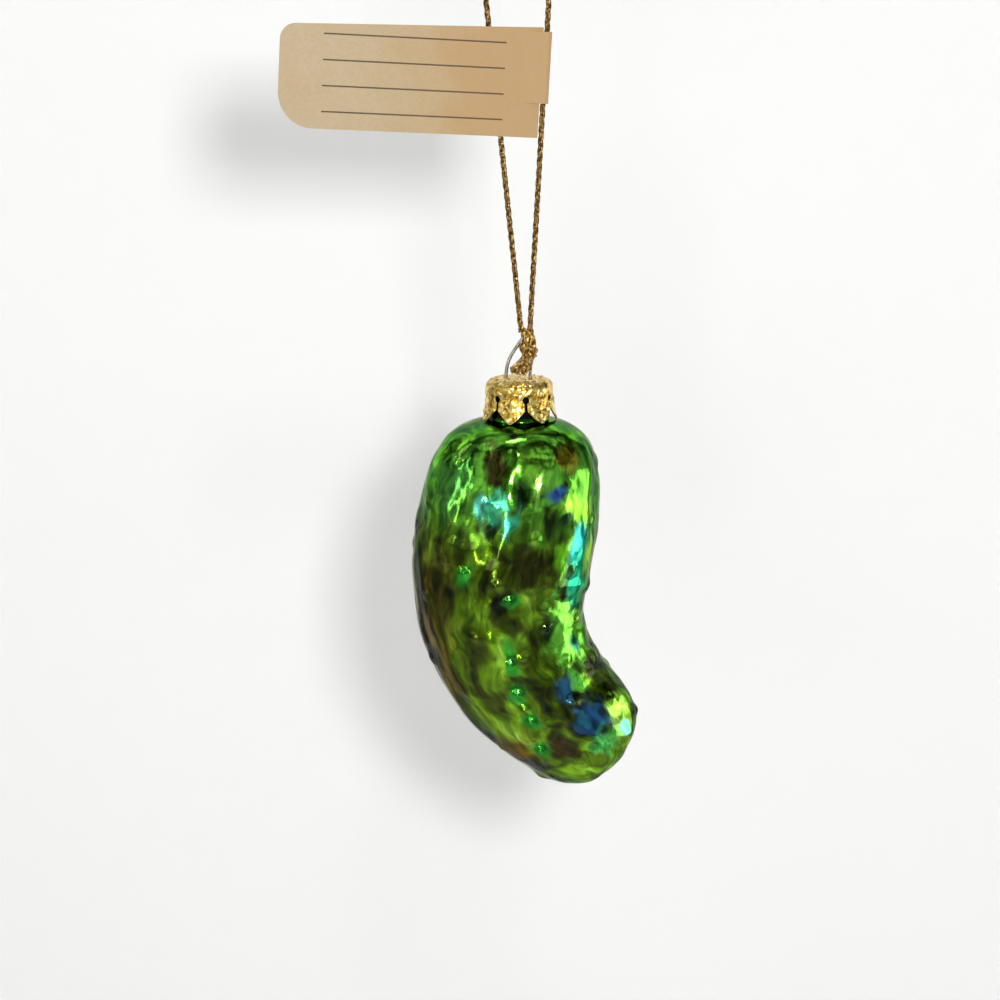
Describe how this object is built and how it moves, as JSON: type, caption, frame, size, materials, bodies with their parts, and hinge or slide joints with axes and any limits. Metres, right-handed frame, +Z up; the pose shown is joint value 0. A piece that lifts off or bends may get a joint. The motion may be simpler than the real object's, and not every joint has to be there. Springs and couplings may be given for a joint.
{
  "type": "pickle ornament",
  "caption": "Hanging blown-glass ornament shaped like a bent, warty gherkin, with a gold crown cap, a spring-wire hanger, a gold cord loop and a folded paper label.",
  "frame": {"origin": "the point on the inside of the cord's bend where a hook or twig bears", "axes": "+Z up along the hanging line; +X to the right seen from the front, the side to which the bulb's tail bends; -Y towards the viewer"},
  "size_m": [0.0714, 0.0353, 0.1804],
  "materials": {
    "lacquered_glass": "blown glass, silvered inside and lacquered green, mirror gloss",
    "gold_cap": "stamped thin sheet, gold coloured, bright and embossed",
    "spring_wire": "bright drawn spring wire",
    "gold_cord": "twisted cord of metallic gold yarn",
    "label_paper": "uncoated beige card, blank"
  },
  "bodies": {
    "cord": {"cord_loop": "gold_cord"},
    "hanger": {"hanger_wire": "spring_wire", "cord_knot": "gold_cord", "cord_tails": "gold_cord"},
    "cap": {"ornament_cap": "gold_cap"},
    "glass": {"glass_body": "lacquered_glass"},
    "tag": {"paper_tag": "label_paper"}
  },
  "joints": [
    {"name": "cord_swing", "type": "hinge", "parent": "cord", "child": "hanger", "pos_m": [0.0022, 0, -0.0851], "axis": [1, 0, 0], "range_deg": [-75, 75]},
    {"name": "hanger_draw", "type": "slide", "parent": "hanger", "child": "cap", "axis": [0, 0, -1], "range_m": [0, 0.0035]},
    {"name": "cap_pull", "type": "slide", "parent": "cap", "child": "glass", "axis": [0, 0, -1], "range_m": [0, 0.022]},
    {"name": "tag_swivel", "type": "hinge", "parent": "cord", "child": "tag", "pos_m": [0.00541, 0, -0.0346], "axis": [0.0546, 0, 0.9985], "range_deg": [0, 340]}
  ]
}
